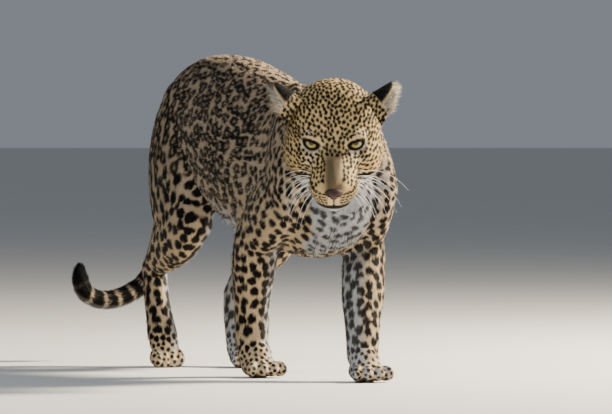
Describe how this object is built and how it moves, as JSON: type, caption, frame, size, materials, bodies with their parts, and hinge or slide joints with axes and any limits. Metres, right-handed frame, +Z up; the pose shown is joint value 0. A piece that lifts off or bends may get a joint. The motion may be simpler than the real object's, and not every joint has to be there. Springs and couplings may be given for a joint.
{
  "type": "leopard",
  "caption": "Life-size standing leopard, walking with its head held low, with a short spotted coat and flat-soled paws.",
  "frame": {"origin": "middle of the model's footprint box, at floor level", "axes": "+Y along the body towards the tail, -Y the way it walks, +X its left side, +Z up"},
  "size_m": [0.3178, 1.2474, 0.6216],
  "materials": {
    "spotted_coat": "short dense fur, tan with black rosettes and spots",
    "pale_coat": "short soft fur, off white",
    "dark_coat": "short fur, near black with pale tips",
    "nose_pad": "damp fine-grained leather, dark pinkish brown",
    "eye": "wet clear gloss over a khaki iris"
  },
  "bodies": {
    "root": {"belly": "spotted_coat", "chest": "spotted_coat", "ear_left": "dark_coat", "ear_right": "dark_coat", "eye_left": "eye", "eye_right": "eye", "head": "spotted_coat", "jaw": "pale_coat", "left_fore_paw": "spotted_coat", "left_forearm": "spotted_coat", "left_hind_foot": "spotted_coat", "left_shank": "spotted_coat", "left_thigh": "spotted_coat", "left_upper_arm": "spotted_coat", "neck": "spotted_coat", "nose": "nose_pad", "right_fore_paw": "spotted_coat", "right_forearm": "spotted_coat", "right_hind_foot": "spotted_coat", "right_shank": "spotted_coat", "right_thigh": "spotted_coat", "right_upper_arm": "spotted_coat", "rump": "spotted_coat", "tail_1": "spotted_coat", "tail_2": "spotted_coat", "tail_3": "spotted_coat", "tail_4": "dark_coat"}
  },
  "joints": []
}
